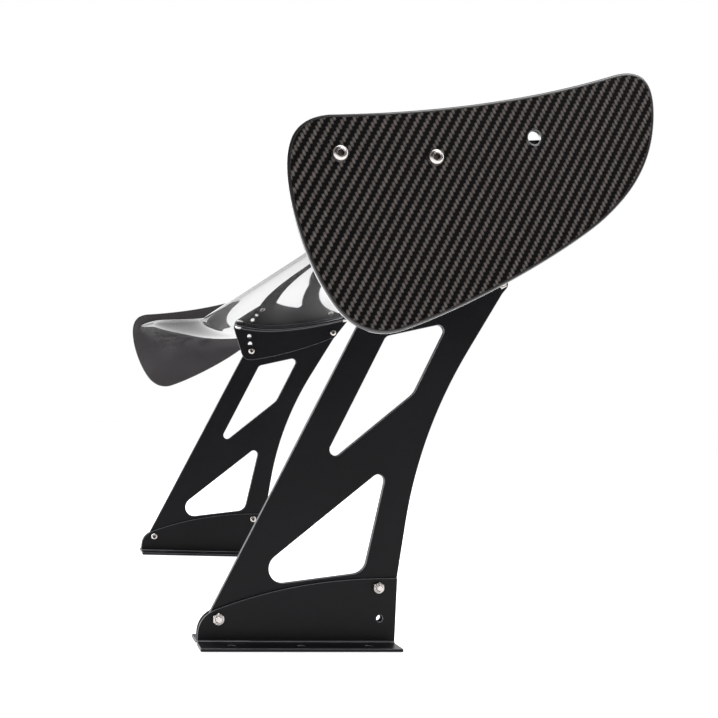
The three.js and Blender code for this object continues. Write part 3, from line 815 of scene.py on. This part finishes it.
def capped(shape, limit):
    """A shape's reach as a function of angle, cut down to a circle's."""
    return lambda angle: min(shape(angle), limit)


def thread_reach(z):
    """A helical thread's reach at a height, as a function of angle."""

    def reach(angle):
        phase = (z / THREAD_PITCH - angle / (2 * math.pi)) % 1
        return BOLT_RADIUS - THREAD_DEPTH * abs(2 * phase - 1)

    return reach


def shank_rings(length, threaded):
    """Rings from a bolt's end up its shank, with thread on the first stretch."""
    steps_per_turn = 10
    end_chamfer = 0.7
    start = 0.35
    run_out = 0.1
    rings = [(BOLT_RADIUS - end_chamfer, -length)]
    count = max(1, round((threaded - start) / THREAD_PITCH * steps_per_turn))
    for i in range(count + 1):
        z = -length + start + (threaded - start) * i / count
        rings.append((thread_reach(z), z))
    rings.append((BOLT_RADIUS, -length + threaded + run_out))
    return rings


def head_rings():
    """Rings of a button head standing on z = 0, ending in its hexagonal socket."""
    flat = 2.7
    rim_height = 0.5
    dome_steps = 8
    chamfer = 0.25
    mouth = 2.5
    rings = [(HEAD_RADIUS - chamfer, 0), (HEAD_RADIUS, chamfer)]
    for i in range(dome_steps + 1):
        angle = math.pi / 2 * i / dome_steps
        reach = flat + (HEAD_RADIUS - flat) * math.cos(angle)
        rings.append((reach, rim_height + (HEAD_HEIGHT - rim_height) * math.sin(angle)))
    socket = hexagon(SOCKET_FLATS)
    rings.append((capped(hexagon(SOCKET_FLATS + 2 * chamfer), mouth), HEAD_HEIGHT))
    rings.append((socket, HEAD_HEIGHT - chamfer))
    rings.append((socket, HEAD_HEIGHT - SOCKET_DEPTH))
    return rings


def button_screw(length=0, threaded=0):
    """A screw with its seat at z = 0. The inside of its socket takes the second material: painted shade."""
    shank = shank_rings(length, threaded) + [(BOLT_RADIUS, 0)] if length else []
    mesh = turned(shank + head_rings())
    slack = 0.01
    socket_reach = SOCKET_FLATS / math.sqrt(3) + slack
    socket_floor = HEAD_HEIGHT - SOCKET_DEPTH - slack
    # Faces inside the socket take the darker steel as painted shade.
    for face in mesh.faces:
        reach = max(math.hypot(vertex.co.x, vertex.co.y) for vertex in face.verts)
        if face.calc_center_median().z > socket_floor and reach < socket_reach:
            face.material_index = 1
    return mesh


def nut(bore):
    """A locking nut: a hexagon with chamfered corners, and a rounded collar over it.

    With a bore of 0 it is closed a little way down, where the end of a bolt fills it."""
    shape = hexagon(NUT_FLATS)
    corner = NUT_FLATS / math.sqrt(3)
    corners = ((corner - 0.7, 0), (corner, 0.4), (corner, 3.3), (corner - 0.35, 3.6))
    rings = [(capped(shape, limit), z) for limit, z in corners]
    rings.append((capped(shape, NUT_FLATS / 2), NUT_HEX_HEIGHT))
    collar_foot = ((COLLAR_RADIUS + 0.15, NUT_HEX_HEIGHT + 0.05), (COLLAR_RADIUS, NUT_HEX_HEIGHT + 0.3))
    rings += collar_foot
    crown = 0.6
    crown_steps = 5
    for i in range(1, crown_steps + 1):
        angle = math.pi / 2 * i / crown_steps
        reach = COLLAR_RADIUS - crown * (1 - math.cos(angle))
        rings.append((reach, NUT_HEIGHT - crown * (1 - math.sin(angle))))
    mouth = ((3.5, NUT_HEIGHT), (3.35, NUT_HEIGHT - 0.3))
    rings += mouth
    ledge = NUT_HEIGHT - 0.5
    rings += [(bore, ledge), (bore, 0)] if bore else [(0.5, ledge)]
    return turned(rings)


def bolt_end(start):
    """The threaded end of a bolt past its nut, down to a height from the nut's seat."""
    rings = [(radius, -z) for radius, z in shank_rings(BOLT_REACH, BOLT_REACH)]
    return turned(rings[:-1] + [(BOLT_RADIUS, start)])


def add_fastener(name, mesh, body):
    """Adds a stainless piece. Its second material, darker steel, paints shade in sockets and on washer
    rims.
    """
    add_piece(f"fine_{name}", mesh, body, [name], [STAINLESS, PAINTED_SHADE_STEEL], sharp=30)


def add_head(name, side, body, centre, length=0):
    """Adds a screw on the inboard side of a bracket: only its head, or with a shank to its nut."""
    threaded = BOLT_REACH if length else 0
    add_fastener(name, pointed(button_screw(length, threaded), side, -1, centre, HEAD_SEAT), body)


def build_bolts(label, side):
    """The rake and wing-angle bolts of one side, with heads inboard and nuts outboard."""
    rake_lock = locks(RAKE_PIVOT, RAKE_LOCKS)[0]
    angle_lock = locks(WING_PIVOT, ANGLE_LOCKS)[0]
    reach = BOLT_REACH - HEAD_SEAT
    add_head(f"{label}_rake_pivot_bolt", side, "root", RAKE_PIVOT, DECK_NUT_SEAT + reach)
    add_head(f"{label}_wing_pivot_bolt", side, "stands", WING_PIVOT, STAND_NUT_SEAT + reach)
    add_head(f"{label}_rake_lock_head", side, "stands", rake_lock)
    add_head(f"{label}_angle_lock_head", side, "stands", angle_lock)
    bore = BOLT_RADIUS + 0.05
    pivot_nuts = (
        ("rake_pivot", "root", RAKE_PIVOT, DECK_NUT_SEAT),
        ("wing_pivot", "stands", WING_PIVOT, STAND_NUT_SEAT),
    )
    for word, body, centre, seat in pivot_nuts:
        add_fastener(f"{label}_{word}_nut", pointed(nut(bore), side, 1, centre, seat), body)
    lock_nuts = (
        ("rake_lock", rake_lock, DECK_NUT_SEAT, 0),
        ("angle_lock", angle_lock, STAND_NUT_SEAT, -(STAND_THICKNESS + FIT_GAP)),
    )
    for word, centre, seat, start in lock_nuts:
        mesh = merged(nut(0), bolt_end(start))
        add_fastener(f"{label}_{word}_nut", pointed(mesh, side, 1, centre, seat), "stands")


def build_saddle_screws(label, side):
    """The screws that go up through a saddle, square to the airfoil's underside."""
    seat = -SHEET_THICKNESS - 3 * FIT_GAP
    step = 1
    for place, x in SADDLE_SCREW_STATIONS.items():
        rise = underside_height(x + step, 0) - underside_height(x - step, 0)
        tilt = Matrix.Rotation(-math.atan2(rise, 2 * step), 3, "Y")
        centre = Vector((x, side * SADDLE_SCREW_LINE, underside_height(x, 0)))
        screw = button_screw(SHEET_THICKNESS + SCREW_REACH, SCREW_REACH)
        move_vertices(screw, lambda a, b, c: to_world(*(centre + tilt @ Vector((a, -b, seat - c)))))
        add_fastener(f"{label}_saddle_screw_{place}", screw, "wing")


def build_plate_screws(label, side):
    """The screws and washers that hold an end plate to the airfoil's tip rib."""
    washer_seat = PLATE_OUTER + FIT_GAP
    head_seat = washer_seat + WASHER_THICKNESS + FIT_GAP
    length = head_seat - SKIN_END + INSERT_LENGTH - BOLT_END
    washer_loops = [hole((0, 0), diameter) for diameter in (2 * WASHER_RADIUS, BOLT_HOLE)]
    for place in ("front", "rear"):
        centre = END_PLATE_HOLES[place]
        screw = button_screw(length, INSERT_LENGTH)
        add_fastener(f"{label}_plate_screw_{place}", pointed(screw, side, 1, centre, head_seat), "wing")
        washer = sheet_mesh(washer_loops, WASHER_THICKNESS, WASHER_ROUND)
        add_fastener(f"{label}_plate_washer_{place}", pointed(washer, side, 1, centre, washer_seat), "wing")


# ---------------------------------------------------------------- the object

build_airfoil()
for label, side in SIDES.items():
    build_end_plate(label, side)
    build_stand(label, side)
    build_deck_bracket(label, side, "inner", STAND_INNER, -1)
    build_deck_bracket(label, side, "outer", STAND_OUTER, 1)
    build_wing_bracket(label, side)
    build_bolts(label, side)
    build_saddle_screws(label, side)
    build_plate_screws(label, side)

# Pieces without a finer stand-in, such as the ribs and the spar, take one plain finish per slot.
PLAIN_FINISHES = {
    "stainless_steel": STAINLESS,
    "plain_aluminium": BARE_ALUMINIUM,
    "rib_composite": COMPOSITE,
    "anodised_aluminium": ANODISED,
    "carbon_twill": PLATE_CARBON,
}
for row in frame["record"]["subparts"]:
    node = frame["nodes"][row["node"]]
    node.data.materials.clear()
    node.data.materials.append(PLAIN_FINISHES[row["material_slot"]])

# ---------------------------------------------------------------- studio


def build_floor():
    """A white floor that glows a little and can be seen through from below."""
    half_width = 30
    drop = 0.0006
    mesh = bmesh.new()
    bmesh.ops.create_grid(mesh, x_segments=1, y_segments=1, size=half_width)
    data = bpy.data.meshes.new("studio_floor")
    mesh.to_mesh(data)
    mesh.free()
    graph = material_graph("studio_floor")
    graph.finish(Base_Color=rgb(0.86, 0.86, 0.87), Roughness=0.9, Specular_IOR_Level=0.1,
                 Emission_Color=rgb(1, 1, 1), Emission_Strength=0.72)
    paint = graph.tree.nodes["Principled BSDF"].outputs[0]
    clear = graph.node("ShaderNodeBsdfTransparent").outputs[0]
    below = graph.node("ShaderNodeNewGeometry").outputs["Backfacing"]
    one_sided = graph.node("ShaderNodeMixShader", {0: below, 1: paint, 2: clear}).outputs[0]
    data.materials.append(graph.fill("Material Output", Surface=one_sided))
    floor = bpy.data.objects.new("studio_floor", data)
    floor.location = (0, 0, -drop)
    bpy.context.scene.collection.objects.link(floor)


def build_world():
    """White to look at. Reflections see a bright wall on the car's right of the object and a dark
    room on its left, and diffuse light is even and dim."""
    dark_room = 0.035
    bright_wall = 1.5
    diffuse_light = 0.3
    backdrop = 1
    graph = Graph(bpy.data.worlds.new("studio"))
    direction = graph.node("ShaderNodeTexCoord").outputs["Generated"]
    rightward = graph.node("ShaderNodeSeparateXYZ", {0: direction}).outputs["Y"]
    wall_range = {"From Min": -0.6, "From Max": 0.75, "To Min": dark_room, "To Max": bright_wall}
    wall = graph.node("ShaderNodeMapRange", {"Value": rightward, **wall_range},
                      interpolation_type="SMOOTHSTEP").outputs["Result"]
    rays = graph.node("ShaderNodeLightPath").outputs
    room = graph.node("ShaderNodeMix", {0: rays["Is Diffuse Ray"], 2: wall, 3: diffuse_light}).outputs[0]
    seen = graph.node("ShaderNodeMix", {0: rays["Is Camera Ray"], 2: room, 3: backdrop}).outputs[0]
    bpy.context.scene.world = graph.fill("Background", Color=rgb(1, 1, 1), Strength=seen)


def add_light(name, place, target, size, power):
    """A softbox that points at a target and doesn't show itself to the camera."""
    light = bpy.data.lights.new(name, "AREA")
    light.shape = "RECTANGLE"
    light.size, light.size_y = size
    light.energy = power
    lamp = bpy.data.objects.new(name, light)
    lamp.location = place
    lamp.visible_camera = False
    lamp.rotation_euler = (Vector(target) - Vector(place)).to_track_quat("-Z", "Y").to_euler()
    bpy.context.scene.collection.objects.link(lamp)


def build_camera():
    """A camera on the car's left that looks to its right, turned rearward, up and rolled."""
    place = (-0.30858, -1.481, 0.2083)
    yaw = math.radians(14.2014)
    pitch = math.radians(3.3194)
    roll = math.radians(-2.8047)
    focal_length = 58.99
    sensor_width = 36
    nearest = 0.01
    forward = Vector((math.sin(yaw) * math.cos(pitch), math.cos(yaw) * math.cos(pitch), math.sin(pitch)))
    level = Vector((math.cos(yaw), -math.sin(yaw), 0))
    up = level.cross(forward)
    right = math.cos(roll) * level - math.sin(roll) * up
    down = -math.sin(roll) * level - math.cos(roll) * up
    turn = Matrix((right, -down, -forward)).transposed().to_4x4()
    data = bpy.data.cameras.new("camera")
    data.lens = focal_length
    data.sensor_width = sensor_width
    data.clip_start = nearest
    camera = bpy.data.objects.new("camera", data)
    camera.matrix_world = Matrix.Translation(place) @ turn
    bpy.context.scene.collection.objects.link(camera)
    bpy.context.scene.camera = camera


build_floor()
build_world()
add_light("overhead_softbox", (0.3, 0.2, 2.6), target=(0, 0, 0), size=(3.6, 3.6), power=110)
add_light("rear_strip", (2.2, -0.9, 1.1), target=(0, -0.3, 0.3), size=(1.4, 2.0), power=20)
add_light("front_softbox", (-1.5, 0.9, 0.76), target=(0, 0.5, 0.45), size=(2.4, 1.4), power=45)
add_light("key_softbox", (0.9, -2.6, 1.9), target=(0, -0.5, 0.3), size=(1.2, 1.2), power=25)
build_camera()
bpy.context.scene.view_settings.view_transform = "Standard"
